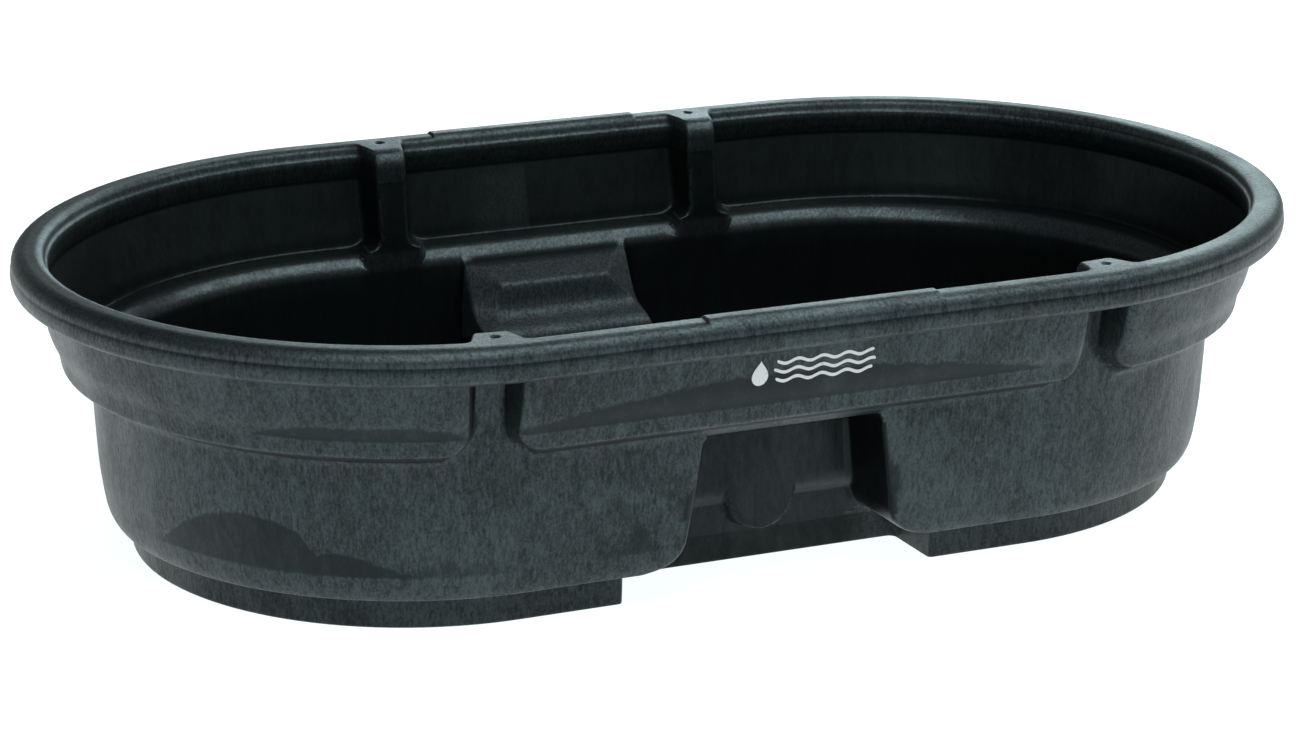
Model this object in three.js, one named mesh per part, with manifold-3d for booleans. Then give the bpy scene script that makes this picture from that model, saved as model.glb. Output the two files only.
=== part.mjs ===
// Livestock water trough: a long round-ended stock tank moulded in one piece, with a screwed drain fitting.
// Millimetres, +Z up. The origin is on the ground under the middle of the tank, and X runs along its length.
import * as THREE from "three";
import { mergeVertices } from "three/addons/utils/BufferGeometryUtils.js";
import Module from "manifold-3d";

const wasm = await Module();
wasm.setup();

// ---------------------------------------------------------------- driving dimensions
const LENGTH = 1321;
const WIDTH = 787;
const RIM_TOP = 305; // top of the two raised pads, the highest point
const WALL = 7; // wall thickness of the moulding
const END_RADIUS = WIDTH / 2;
const STRAIGHT = (LENGTH - WIDTH) / 2; // half length of the straight sides
const END_STEP = THREE.MathUtils.degToRad(9); // spacing of the wall sections round the ends

const BASE_INSET = 107; // from the rim's outline in to the edge of the base
const CROWN = 302.5; // top of the rim between the pads
const PAD_HALF_LENGTH = 117; // raised pads on the rim, one in the middle of each long side

const GROOVE_NEAR = STRAIGHT + 44.7; // upright grooves, measured along the wall from the middle of a long side
const GROOVE_FAR = 181;
const GROOVE_MOUTH = 24; // half width where the groove meets the panels
const GROOVE_BOTTOM = 16; // half width at its bottom
const PANEL_CORNER = 22; // radius of the panels' lower corners beside a groove
const PANEL_CORNER_TOP = 209; // height where that radius starts
const DIMPLE_RADIUS = 6;
const DIMPLE_DEPTH = 3;
const LUG_TOP = 301.5;

const RECESS_EDGE = 100; // station of a recess's outer corner, before each row moves it to its own half width
const RECESS_CHEEK = 98; // station where its side wall ends
const RECESS_BACK = 96; // station of its inner corner
const RECESS_BLEND = 240; // stations past this one stay where they are
const CHEEK_DRAFT = 2; // how much narrower a recess is there

const BLANK_BOSS_Z = 74; // blank boss in the near recess
const BLANK_BOSS_RADIUS = 36;
const BLANK_BOSS_FACE = 245; // distance of its face from the middle plane

const FAR_BACK_INSET = 150; // upright back of the far recess, which the drain fitting clamps
const DRAIN_Z = 66; // drain axis
const DRAIN_BOSS_RADIUS = 36;
const DRAIN_BOSS_FACE = 248;
const DRAIN_BOSS_BACK = 240;
const DRAIN_HOLE_RADIUS = 25;
const WALL_INSIDE_FACE = END_RADIUS - FAR_BACK_INSET - WALL;
const GAP = 0.3; // clearance between pieces that touch
const THREAD_GAP = 0.4; // radial clearance of a thread, which is modelled plain

const FITTING_GASKET_THICKNESS = 3;
const FITTING_FLANGE_RADIUS = 34;
const FITTING_FLANGE_THICKNESS = 6;
const FITTING_BORE_RADIUS = 19.4;
const FITTING_INNER_END = WALL_INSIDE_FACE - 16;
const LOCK_NUT_ACROSS = 58;
const LOCK_NUT_THICKNESS = 10;
const PLUG_GASKET_THICKNESS = 2.5;
const PLUG_GASKET_RADIUS = 25;
const PLUG_HEAD_RADIUS = 26;
const PLUG_HEAD_THICKNESS = 5;
const PLUG_DRIVE_ACROSS = 24;
const PLUG_DRIVE_HEIGHT = 13;
const PLUG_SHANK_LENGTH = 24;
const PLUG_HOLLOW_RADIUS = 14;

// ---------------------------------------------------------------- sections of the wall
// A section is a list of [inset, height]: inset is the distance in from the rim's outline. All kinds of
// section have the same rows, so that one kind can pass into another from station to station.
const baseRows = [
  [BASE_INSET, 0],
  [105, 33],
  [88.5, 34],
  [83.5, 44],
  [80.5, 61],
];
const lowerWallRows = [
  [77.5, 84],
  [76, 112],
  [74, 155],
  [73.5, 168],
];
const panelRows = [
  [66, 176],
  [45.5, 187],
  [42.5, 206],
  [34.5, 224],
  [26, 266],
];
const grooveRows = [
  [73.3, 176],
  [73, 187],
  [72, 206],
  [70, 224],
  [65, 266],
];
const nearRecessRows = [
  [178.5, 0],
  [170.3, 33],
  [170, 34],
  [167.5, 44],
  [163.5, 61],
  [162.5, 66],
  [148.5, 82],
  [146.5, 158],
  [78, 167.5],
];
const farRecessRows = [
  [FAR_BACK_INSET, 0],
  [FAR_BACK_INSET, 33],
  [FAR_BACK_INSET, 34],
  [FAR_BACK_INSET, 44],
  [FAR_BACK_INSET, 61],
  [FAR_BACK_INSET, 104],
  [119, 118],
  [116.5, 152],
  [78, 167.5],
];
const rimRows = [
  [26, 294],
  [15, 294],
  [14, 268],
  [8, 267],
  [1.5, 277],
  [0, 287],
  [5, 298],
  [13, CROWN],
  [27, CROWN],
  [36, 292],
  [36, 274],
];
const grooveRimRows = [
  [64, 291],
  ...rimRows.slice(1, 8),
  [60, LUG_TOP],
  [70, 293],
  [72, 274],
];
const PAD_ROWS = [7, 8]; // rim rows that the pads raise

// Half width of a recess's opening at each outer row, and of its back. The far recess lies a little to the
// left of the middle, and the chamfers beside its back are unlike.
const nearEdge = [170, 170, 150, 120, 107.5, 104.5, 100, 93, 91.5];
const nearBack = nearEdge.map((edge) => edge - 4);
const recessWidths = {
  near: { left: { edge: nearEdge, back: nearBack }, right: { edge: nearEdge, back: nearBack } },
  far: {
    left: {
      edge: [170, 170, 150, 122, 110, 101, 100, 99, 98],
      back: [164, 164, 144, 117, 105, 97, 74, 66, 86],
    },
    right: {
      edge: [170, 170, 150, 114, 95, 80, 79.5, 79.5, 79.5],
      back: [164, 164, 144, 109, 90, 75, 72, 39, 70],
    },
  },
};
// How far each row has come in from the wall to the back where the recess's side wall ends.
const cheekOfRow = {
  near: nearEdge.map(() => 0.5),
  far: [1, 1, 1, 1, 1, 1, 0.74, 0.25, 0],
};

// The line through the rows moved in by the wall thickness, mitred at its corners.
function offsetRows(rows, distance) {
  const before = [END_RADIUS, rows[0][1]];
  const after = [rows.at(-1)[0], RIM_TOP];
  const line = [before, ...rows, after];
  const normals = line.slice(1).map(([x, z], i) => {
    const along = new THREE.Vector2(x - line[i][0], z - line[i][1]).normalize();
    return new THREE.Vector2(along.y, -along.x);
  });
  return rows.map(([x, z], i) => {
    const bisector = normals[i].clone().add(normals[i + 1]).normalize();
    const reach = distance / bisector.dot(normals[i]);
    return [x + bisector.x * reach, z + bisector.y * reach];
  });
}

// A whole section, from the middle of the underside, out and up over the rim, and down inside to the middle.
function section(wall, rim) {
  const inside = offsetRows(wall, WALL).reverse();
  return [[END_RADIUS, 0], ...wall, ...rim, ...inside, [END_RADIUS, WALL]];
}

const sections = {
  panel: section([...baseRows, ...lowerWallRows, ...panelRows], rimRows),
  groove: section([...baseRows, ...lowerWallRows, ...grooveRows], grooveRimRows),
  near: section([...nearRecessRows, ...panelRows], rimRows),
  far: section([...farRecessRows, ...panelRows], rimRows),
};
const WALL_ROWS = baseRows.length + lowerWallRows.length + panelRows.length;
const ROWS = sections.panel.length;

// The outer row that a row belongs to, and whether it lies on the inside skin.
function rowPlace(row) {
  if (row >= 1 && row <= WALL_ROWS) return { outer: row - 1, inside: false };
  if (row >= ROWS - 1 - WALL_ROWS && row < ROWS - 1) return { outer: ROWS - 2 - row, inside: true };
  return { outer: -1, inside: false };
}

// ---------------------------------------------------------------- stations round the wall
// Half of one long side with its quarter turn: at is the distance along the wall from the middle.
// recess and groove are 1 inside them, and corner is the side that a panel's lower corner rounds to.
const back = [{ at: 0, recess: 1 }, { at: 50, recess: 1 }, { at: RECESS_BACK, recess: 1 }];
const middle = [...back, { at: RECESS_CHEEK, cheek: true }, { at: RECESS_EDGE }];
const padEnd = [{ at: PAD_HALF_LENGTH }, { at: PAD_HALF_LENGTH + 2 }];
const WRAP_RADIUS = END_RADIUS - 48; // radius at which distances are measured round the ends
const QUARTER_END = STRAIGHT + (WRAP_RADIUS * Math.PI) / 2;

function grooveStations(centre) {
  return [
    { at: centre - GROOVE_MOUTH, corner: -1 },
    { at: centre - GROOVE_BOTTOM, groove: 1, corner: -1 },
    { at: centre + GROOVE_BOTTOM, groove: 1, corner: 1 },
    { at: centre + GROOVE_MOUTH, corner: 1 },
  ];
}

function quarterTurn(from) {
  const steps = Math.round(Math.PI / 2 / END_STEP);
  const all = Array.from({ length: steps }, (_, i) => ({ at: STRAIGHT + WRAP_RADIUS * END_STEP * (i + 1) }));
  return all.filter((station) => station.at > from);
}

const plainFar = grooveStations(GROOVE_FAR).map(({ at }) => ({ at }));
const nearHalf = [...middle, ...padEnd, ...plainFar, { at: RECESS_BLEND }, ...grooveStations(GROOVE_NEAR)];
nearHalf.push(...quarterTurn(GROOVE_NEAR + GROOVE_MOUTH + PANEL_CORNER));
const farHalf = [...middle, ...padEnd, ...grooveStations(GROOVE_FAR), { at: RECESS_BLEND }, { at: STRAIGHT }];
farHalf.push(...quarterTurn(STRAIGHT));

// Both halves of a side, from its left end to its right end.
function wholeSide(half, side) {
  const left = half
    .slice(1)
    .reverse()
    .map((station) => ({ ...station, at: -station.at, corner: -(station.corner ?? 0) }));
  return [...left, ...half].map((station) => ({ ...station, side }));
}

const nearSide = wholeSide(nearHalf, "near");
const farSide = wholeSide(farHalf, "far").slice(1, -1).reverse();
const stations = [...nearSide, ...farSide];

// How far a panel's lower corner has rounded away from its groove at a height.
function cornerShift(height) {
  if (height < baseRows.at(-1)[1] || height > PANEL_CORNER_TOP) return 0;
  const down = Math.min(PANEL_CORNER_TOP - height, PANEL_CORNER);
  return PANEL_CORNER - Math.sqrt(PANEL_CORNER ** 2 - down ** 2);
}

// Moves a station along the wall so that the recess's corners follow their half widths at this row.
function recessShift(at, row, side) {
  const { outer, inside } = rowPlace(row);
  if (outer < 0 || outer >= nearEdge.length) return at;
  const skin = inside ? WALL : 0;
  const widths = recessWidths[side][at < 0 ? "left" : "right"];
  const edge = widths.edge[outer] + skin;
  const back = widths.back[outer] + skin;
  const reach = Math.abs(at);
  if (reach >= RECESS_BLEND) return at;
  const onBack = (reach / RECESS_BACK) * back;
  const share = Math.max(reach - RECESS_EDGE, 0) / (RECESS_BLEND - RECESS_EDGE);
  const onWall = THREE.MathUtils.lerp(edge, RECESS_BLEND, share);
  return Math.sign(at) * (reach <= RECESS_BACK ? onBack : onWall - (reach < RECESS_EDGE ? CHEEK_DRAFT : 0));
}

function sectionPoint(station, row) {
  const [inset, height] = sections.panel[row];
  const mixTo = (kind, share) => {
    const [otherInset, otherHeight] = sections[kind][row];
    return [THREE.MathUtils.lerp(inset, otherInset, share), THREE.MathUtils.lerp(height, otherHeight, share)];
  };
  if (station.recess) return mixTo(station.side, station.recess);
  if (station.cheek) return mixTo(station.side, cheekOfRow[station.side][rowPlace(row).outer] ?? 0);
  return mixTo("groove", station.groove ?? 0);
}

// The point of the wall at a distance along it, turned round the ends.
function wallPoint(at, inset, height, side) {
  const past = Math.max(Math.abs(at) - STRAIGHT, 0);
  const turn = past / WRAP_RADIUS;
  const radius = END_RADIUS - inset;
  const x = Math.sign(at) * (Math.min(Math.abs(at), STRAIGHT) + radius * Math.sin(turn));
  const y = radius * Math.cos(turn) * (side === "near" ? -1 : 1);
  return new THREE.Vector3(x, y, height);
}

function shellPoint(station, row) {
  const [inset, plainHeight] = sectionPoint(station, row);
  const rimRow = row - 1 - WALL_ROWS;
  const raised = PAD_ROWS.includes(rimRow) && Math.abs(station.at) <= PAD_HALF_LENGTH;
  const height = raised ? RIM_TOP : plainHeight;
  const shifted = recessShift(station.at, row, station.side) + (station.corner ?? 0) * cornerShift(height);
  return wallPoint(shifted, inset, height, station.side);
}

// ---------------------------------------------------------------- solids
function toManifold(geometry) {
  const plain = geometry.clone();
  plain.deleteAttribute("normal");
  plain.deleteAttribute("uv");
  const merged = mergeVertices(plain, 1e-3);
  const corners = Array.from(merged.index.array);
  const triangles = [];
  for (let i = 0; i < corners.length; i += 3) {
    const [a, b, c] = corners.slice(i, i + 3);
    if (a !== b && b !== c && c !== a) triangles.push(a, b, c);
  }
  const triVerts = new Uint32Array(triangles);
  const vertProperties = merged.attributes.position.array;
  return new wasm.Manifold(new wasm.Mesh({ numProp: 3, vertProperties, triVerts }));
}

function toGeometry(solid) {
  const mesh = solid.getMesh();
  const geometry = new THREE.BufferGeometry();
  geometry.setAttribute("position", new THREE.BufferAttribute(mesh.vertProperties, 3));
  geometry.setIndex(new THREE.BufferAttribute(mesh.triVerts, 1));
  const faceted = geometry.toNonIndexed();
  faceted.computeVertexNormals();
  return faceted;
}

// The shell as one closed surface through all stations and rows.
function loftedShell() {
  const points = stations.flatMap((station) =>
    Array.from({ length: ROWS }, (_, row) => shellPoint(station, row).toArray()),
  );
  const indices = [];
  stations.forEach((_, i) => {
    const here = i * ROWS;
    const next = ((i + 1) % stations.length) * ROWS;
    for (let row = 0; row < ROWS - 1; row++) {
      indices.push(here + row, next + row, next + row + 1);
      indices.push(here + row, next + row + 1, here + row + 1);
    }
  });
  const geometry = new THREE.BufferGeometry();
  geometry.setAttribute("position", new THREE.Float32BufferAttribute(points.flat(), 3));
  geometry.setIndex(indices);
  return geometry;
}

// A round solid about the drain axis: profile holds [radius, y], going round it.
function turned(profile, segments = 40) {
  const lathe = new THREE.LatheGeometry(profile.map(([r, y]) => new THREE.Vector2(r, y)), segments);
  return lathe.translate(0, 0, DRAIN_Z);
}

// A prism about the drain axis, from y = from to y = to.
function prism(shape, from, to) {
  const solid = new THREE.ExtrudeGeometry(shape, { depth: to - from, bevelEnabled: false, curveSegments: 12 });
  return solid.rotateX(Math.PI / 2).translate(0, to, DRAIN_Z);
}

function hexagon(across) {
  const shape = new THREE.Shape();
  for (let i = 0; i < 6; i++) {
    const angle = (i * Math.PI) / 3;
    const corner = across / 2 / Math.cos(Math.PI / 6);
    const method = i ? "lineTo" : "moveTo";
    shape[method](corner * Math.cos(angle), corner * Math.sin(angle));
  }
  shape.closePath();
  return shape;
}

function squareShape(across) {
  const half = across / 2;
  const shape = new THREE.Shape();
  shape.moveTo(-half, -half);
  shape.lineTo(half, -half);
  shape.lineTo(half, half);
  shape.lineTo(-half, half);
  shape.closePath();
  return shape;
}

// ---------------------------------------------------------------- tank shell
function blankBoss() {
  const shape = new THREE.Shape();
  shape.moveTo(-BLANK_BOSS_RADIUS, BLANK_BOSS_Z + 10);
  shape.lineTo(-BLANK_BOSS_RADIUS, BLANK_BOSS_Z);
  shape.absarc(0, BLANK_BOSS_Z, BLANK_BOSS_RADIUS, Math.PI, 2 * Math.PI, false);
  shape.lineTo(BLANK_BOSS_RADIUS, BLANK_BOSS_Z + 10);
  shape.closePath();
  const depth = BLANK_BOSS_FACE - (END_RADIUS - nearRecessRows[5][0]) + WALL / 2;
  const solid = new THREE.ExtrudeGeometry(shape, { depth, bevelEnabled: false, curveSegments: 14 });
  return solid.rotateX(Math.PI / 2).translate(0, -BLANK_BOSS_FACE + depth, 0);
}

function dimple(x, y) {
  const cup = new THREE.CylinderGeometry(DIMPLE_RADIUS, DIMPLE_RADIUS / 2, 2 * DIMPLE_DEPTH, 16);
  return cup.rotateX(Math.PI / 2).translate(x, y, LUG_TOP);
}

function drumAlongY(radius, from, to) {
  const drum = new THREE.CylinderGeometry(radius, radius, to - from, 40);
  return drum.translate(0, (from + to) / 2, DRAIN_Z);
}

function tankShell() {
  let shell = toManifold(loftedShell());
  shell = shell.add(toManifold(blankBoss()));
  shell = shell.add(toManifold(drumAlongY(DRAIN_BOSS_RADIUS, DRAIN_BOSS_BACK, DRAIN_BOSS_FACE)));
  shell = shell.subtract(toManifold(drumAlongY(DRAIN_HOLE_RADIUS, WALL_INSIDE_FACE - 5, DRAIN_BOSS_FACE + 5)));
  for (const side of [-1, 1]) {
    const near = wallPoint(side * GROOVE_NEAR, 42, LUG_TOP, "near");
    const far = wallPoint(side * GROOVE_FAR, 32, LUG_TOP, "far");
    for (const place of [near, far]) shell = shell.subtract(toManifold(dimple(place.x, place.y)));
  }
  return toGeometry(shell);
}

// ---------------------------------------------------------------- drain fitting, from the wall outwards
const gasketFrom = DRAIN_BOSS_FACE + GAP;
const gasketTo = gasketFrom + FITTING_GASKET_THICKNESS;
const flangeFrom = gasketTo + GAP;
const flangeTo = flangeFrom + FITTING_FLANGE_THICKNESS;
const sealFrom = flangeTo + GAP;
const sealTo = sealFrom + PLUG_GASKET_THICKNESS;
const headFrom = sealTo + GAP;
const headTo = headFrom + PLUG_HEAD_THICKNESS;
const bodyRadius = DRAIN_HOLE_RADIUS - GAP;

function ring(inner, outer, from, to) {
  return turned([
    [inner, from],
    [outer, from],
    [outer, to],
    [inner, to],
    [inner, from],
  ]);
}

function drainFitting() {
  return turned([
    [FITTING_BORE_RADIUS, FITTING_INNER_END],
    [bodyRadius, FITTING_INNER_END],
    [bodyRadius, flangeFrom],
    [FITTING_FLANGE_RADIUS, flangeFrom],
    [FITTING_FLANGE_RADIUS, flangeTo - 1.5],
    [FITTING_FLANGE_RADIUS - 1.5, flangeTo],
    [FITTING_BORE_RADIUS, flangeTo],
    [FITTING_BORE_RADIUS, FITTING_INNER_END],
  ]);
}

function lockNut() {
  const to = WALL_INSIDE_FACE - GAP;
  const from = to - LOCK_NUT_THICKNESS;
  const blank = toManifold(prism(hexagon(LOCK_NUT_ACROSS), from, to));
  const bore = toManifold(drumAlongY(bodyRadius + THREAD_GAP, from - 1, to + 1));
  return toGeometry(blank.subtract(bore));
}

function drainPlug() {
  const shankEnd = headFrom - PLUG_SHANK_LENGTH;
  const shankRadius = FITTING_BORE_RADIUS - THREAD_GAP;
  const body = turned([
    [0, headFrom - 3],
    [PLUG_HOLLOW_RADIUS, headFrom - 3],
    [PLUG_HOLLOW_RADIUS, shankEnd],
    [shankRadius - 1.5, shankEnd],
    [shankRadius, shankEnd + 1.5],
    [shankRadius, headFrom],
    [PLUG_HEAD_RADIUS, headFrom],
    [PLUG_HEAD_RADIUS, headTo - 1.5],
    [PLUG_HEAD_RADIUS - 1.5, headTo],
    [0, headTo],
  ]);
  const drive = prism(squareShape(PLUG_DRIVE_ACROSS), headTo - 1, headTo + PLUG_DRIVE_HEIGHT);
  return toGeometry(toManifold(body).add(toManifold(drive)));
}

// ---------------------------------------------------------------- assembly
function piece(name, geometry, material) {
  const mesh = new THREE.Mesh(geometry, new THREE.MeshStandardMaterial(material));
  mesh.name = name;
  return mesh;
}

const foam = { color: 0x33393a, roughness: 0.62, metalness: 0 };
const nylon = { color: 0x1d1f20, roughness: 0.45, metalness: 0 };
const rubber = { color: 0x151515, roughness: 0.85, metalness: 0 };

const trough = new THREE.Group();
const gasketRadius = FITTING_FLANGE_RADIUS - 1;
const sealBore = FITTING_BORE_RADIUS;
trough.add(piece("tank_shell", tankShell(), foam));
trough.add(piece("fitting_gasket", ring(bodyRadius + GAP, gasketRadius, gasketFrom, gasketTo), rubber));
trough.add(piece("drain_fitting", drainFitting(), nylon));
trough.add(piece("lock_nut", lockNut(), nylon));
trough.add(piece("plug_gasket", ring(sealBore, PLUG_GASKET_RADIUS, sealFrom, sealTo), rubber));
trough.add(piece("drain_plug", drainPlug(), nylon));

export default trough;
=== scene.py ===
"""Looks of a round-ended livestock water trough with a screwed drain fitting.

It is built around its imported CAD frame, in metres: +X along the tank, +Y across it towards the drain, +Z up.
The wall is a grid: stations round the tank by rows of a section. Sizes inside the grid are in millimetres.
"""

import math

import bmesh
import bpy
import numpy as np
from mathutils import Matrix, Vector


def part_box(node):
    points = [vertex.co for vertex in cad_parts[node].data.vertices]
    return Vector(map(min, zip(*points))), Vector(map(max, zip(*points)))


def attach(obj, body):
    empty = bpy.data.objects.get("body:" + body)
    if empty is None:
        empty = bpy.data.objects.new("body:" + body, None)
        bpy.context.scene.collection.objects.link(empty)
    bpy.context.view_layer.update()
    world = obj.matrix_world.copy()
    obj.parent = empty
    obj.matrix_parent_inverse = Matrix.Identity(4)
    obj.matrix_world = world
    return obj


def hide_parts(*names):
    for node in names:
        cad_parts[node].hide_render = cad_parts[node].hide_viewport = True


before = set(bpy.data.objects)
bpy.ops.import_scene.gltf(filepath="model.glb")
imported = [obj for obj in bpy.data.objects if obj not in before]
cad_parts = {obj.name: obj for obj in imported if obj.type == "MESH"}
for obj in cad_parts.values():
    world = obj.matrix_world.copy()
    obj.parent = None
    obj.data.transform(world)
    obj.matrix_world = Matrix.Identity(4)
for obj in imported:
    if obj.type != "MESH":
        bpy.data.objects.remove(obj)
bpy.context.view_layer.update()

MM = 0.001

# ---------------------------------------------------------------- sizes, in millimetres
shell_low, shell_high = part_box("tank_shell")
LENGTH = round((shell_high.x - shell_low.x) / MM)
WIDTH = round((shell_high.y - shell_low.y) / MM)
RIM_TOP = round(shell_high.z / MM)
WALL = 7.0
END_RADIUS = WIDTH / 2
STRAIGHT = (LENGTH - WIDTH) / 2
WRAP_RADIUS = END_RADIUS - 48
SIDE_END = STRAIGHT + WRAP_RADIUS * math.pi / 2
CROWN = RIM_TOP - 2.5
PAD_HALF_LENGTH = 117.0

GROOVE_NEAR = STRAIGHT + 44.7
GROOVE_FAR = 181.0
GROOVE_MOUTH = 24.0
GROOVE_BOTTOM = 16.0
PANEL_CORNER = 22.0
PANEL_CORNER_TOP = 209.0
INSIDE_CORNER_RISE = 0.8
CORNER_MARGIN = 4.0  # how far the nearest plain station keeps away from a panel's rounded corner
LOWEST_CORNER_ROW = 61.0
LUG_TOP = 301.5
BEAD_Z = 268.0  # the rim lies above this height
CREASES = (0.206, 0.061)  # heights in metres above which patches of painted shade lie, with the grain hidden in them
LUG_INSET_NEAR = 42.0
LUG_INSET_FAR = 32.0
DIMPLE_RADIUS = 5.0
DIMPLE_DEPTH = 2.2
DIMPLE_SLOPE = 3.0  # width of a dimple's sloped edge

RECESS_BLEND = 240.0
RECESS_REACH = 112.0  # half width within which the recesses' walls lie
RECESS_MOUTH = 76.0  # inset beyond which the wall belongs to a recess
RECESS_STATIONS = {"back": 96.0, "cheek": 98.0, "edge": 100.0}
RECESS_ROUND = {"near": 9.0, "far": 3.5}
CHEEK_DRAFT = 2.0
BLANK_BOSS_Z = 74.0
BLANK_BOSS_TOP = 86.0
BLANK_BOSS_RADIUS = 36.0
BLANK_BOSS_FACE = 245.0
BLANK_BOSS_SLOPE = 5.0  # width of the boss's sloped edge

FAR_BACK_INSET = 150.0
DRAIN_Z = 66.0
DRAIN_BOSS_RADIUS = 36.0
DRAIN_BOSS_FACE = 248.0
DRAIN_BOSS_SLOPE = 4.0
BOSS_SPREAD = 2.0  # how far a boss's sloped edge reaches past its radius
FAR_BACK_Y = (240.0, 244.0)  # the far recess's back lies between these
FAR_BACK_Z = (20.0, 104.0)
DRAIN_HOLE_RADIUS = 25.0
DRAIN_HOLE_Y = (225, 255)

# ---------------------------------------------------------------- sections of the wall
# A row is (inset from the rim's outline, height). All kinds of section have the same rows.
BASE = [(107, 0), (105, 33), (88.5, 34), (86, 38), (83.5, 44), (81.8, 52), (80.5, 61)]
LOWER_WALL = [(77.5, 84), (76, 112), (74, 155), (73.5, 170)]
PANEL = [(70, 177.5), (45.5, 188.5), (42.5, 206), (34.5, 224), (26, 266)]
GROOVE = [(73.3, 177.5), (73, 188.5), (72, 206), (70, 224), (65, 266)]
NEAR_RECESS = [
    (178.5, 0), (170.3, 33), (170, 34), (169, 38), (167.5, 44), (165.5, 52), (163.5, 61),
    (162.5, 66), (148.5, 82), (146.5, 158), (78, 168.5),
]
FAR_RECESS = [(FAR_BACK_INSET, height) for height in (0, 33, 34, 38, 44, 52, 61, 104)]
FAR_RECESS += [(119, 118), (116.5, 150), (76, 166)]
RIM = [
    (26, 294), (15, 294), (14, 268), (8, 267), (1.5, 272), (0, 280), (0.5, 284.5), (1.4, 287), (1.5, 293),
    (6, 299.6), (13, CROWN), (27, CROWN), (32.5, 299.5), (34, 293), (36.6, 290.4), (37.4, 285), (36, 274),
]
LUG_RIM = [(58, LUG_TOP), (65, 298.5), (68.5, 293.5), (70, 290.5), (71.5, 285), (72, 274)]
GROOVE_RIM = [(64, 291)] + RIM[1:11] + LUG_RIM
RAISED_RIM_ROWS = (10, 11)

# Half widths of a recess at its rows: at its opening, and at its back.
NEAR_EDGE = [163, 163, 150, 132, 120, 112, 107.5, 104.5, 100, 93, 91.5]
NEAR_BACK = [edge - 4 for edge in NEAR_EDGE]
FAR_LEFT = {
    "edge": [170, 170, 150, 134, 122, 114, 110, 101, 100, 99, 98],
    "back": [164, 164, 144, 128, 117, 109, 105, 97, 74, 66, 86],
}
FAR_RIGHT = {
    "edge": [170, 170, 150, 130, 114, 102, 95, 80, 79.5, 79.5, 79.5],
    "back": [164, 164, 144, 124, 109, 97, 90, 75, 72, 39, 70],
}
NEAR_SIDES = {"edge": NEAR_EDGE, "back": NEAR_BACK}
RECESS_WIDTHS = {"near": (NEAR_SIDES, NEAR_SIDES), "far": (FAR_LEFT, FAR_RIGHT)}
CHEEK_SHARE = {"near": [0.5] * 11, "far": [1, 1, 1, 1, 1, 1, 1, 1, 0.74, 0.25, 0]}

# Rounding of each row's corner, as the distance from the corner to where the round begins, and the
# number of strips between one row's round and the next one's.
WALL_ROUNDS = [3, 1, 4, 6, 6, 6, 6, 12, 12, 6, 3, 3, 4, 5, 8, 8]
WALL_STRIPS = [9, 1, 2, 3, 3, 4, 16, 8, 5, 3, 1, 2, 3, 2, 3, 2]
# The same for the inside, where the ledge has a softer edge and the panels' corners need more strips.
INSIDE_ROUNDS = WALL_ROUNDS[:10] + [6, 5, 4, 4, 8, 8]
INSIDE_STRIPS = WALL_STRIPS[:10] + [3, 3, 8, 5, 3]
RIM_ROUNDS = [3, 2, 1.2, 2.5, 3, 3, 1.6, 1.6, 3.2, 3.5, 4, 4, 3, 2.5, 1.6, 2.5, 4]
RIM_STRIPS = [1, 2, 1, 1, 1, 1, 1, 1, 1, 1, 24, 1, 1, 1, 1, 1, 2]
ROUND_STEPS = 4


def offset_rows(rows, distance):
    """The line through the rows moved in by the wall thickness, mitred at its corners."""
    line = np.array([(END_RADIUS, rows[0][1])] + list(rows) + [(rows[-1][0], RIM_TOP)], float)
    along = np.diff(line, axis=0)
    along /= np.linalg.norm(along, axis=1)[:, None]
    normals = np.stack([along[:, 1], -along[:, 0]], 1)
    moved = []
    for i, row in enumerate(rows):
        bisector = normals[i] + normals[i + 1]
        bisector /= np.linalg.norm(bisector)
        moved.append(tuple(np.array(row) + bisector * distance / bisector.dot(normals[i])))
    return moved


WALL_KINDS = {
    "panel": BASE + LOWER_WALL + PANEL,
    "groove": BASE + LOWER_WALL + GROOVE,
    "near": NEAR_RECESS + PANEL,
    "far": FAR_RECESS + PANEL,
}
WALL_ROWS = len(WALL_KINDS["panel"])
# How far some rows of the panels' inside lie from an even wall, as (further in, up): the ledge is thicker.
LEDGE_INSIDE = {10: (-2.4, 3.8), 11: (-7.2, 5.7), 12: (0.5, 1.1), 13: (0.4, 0), 14: (3.0, 0)}
FLOOR_STRIP = 12.0  # width of the flat strip kept round the underside and round the inside floor


def control_section(kind):
    wall = WALL_KINDS[kind]
    rim = GROOVE_RIM if kind == "groove" else RIM
    inside = offset_rows(wall, WALL)
    moved_rows = {} if kind == "groove" else LEDGE_INSIDE
    for row, (further_in, up) in moved_rows.items():
        inside[row] = (inside[row][0] + further_in, inside[row][1] + up)
    inside = inside[::-1]
    first = (wall[0][0] + FLOOR_STRIP, 0)
    last = (inside[-1][0] + FLOOR_STRIP, WALL)
    return np.array([first] + list(wall) + list(rim) + inside + [last], float)


SECTIONS = {kind: control_section(kind) for kind in WALL_KINDS}
CONTROL_ROWS = len(SECTIONS["panel"])


def row_place(row):
    """The wall row that a control row belongs to, and whether it lies on the inside skin."""
    if row == 0:
        return 0, False
    if row <= WALL_ROWS:
        return row - 1, False
    if row == CONTROL_ROWS - 1:
        return 0, True
    if row >= CONTROL_ROWS - 1 - WALL_ROWS:
        return CONTROL_ROWS - 2 - row, True
    return None, False


# ---------------------------------------------------------------- stations round the wall
def spread(first, last, step):
    """Evenly spaced places from first to last, without the ends."""
    count = max(1, round((last - first) / step))
    return [first + (last - first) * i / count for i in range(1, count)]


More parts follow.
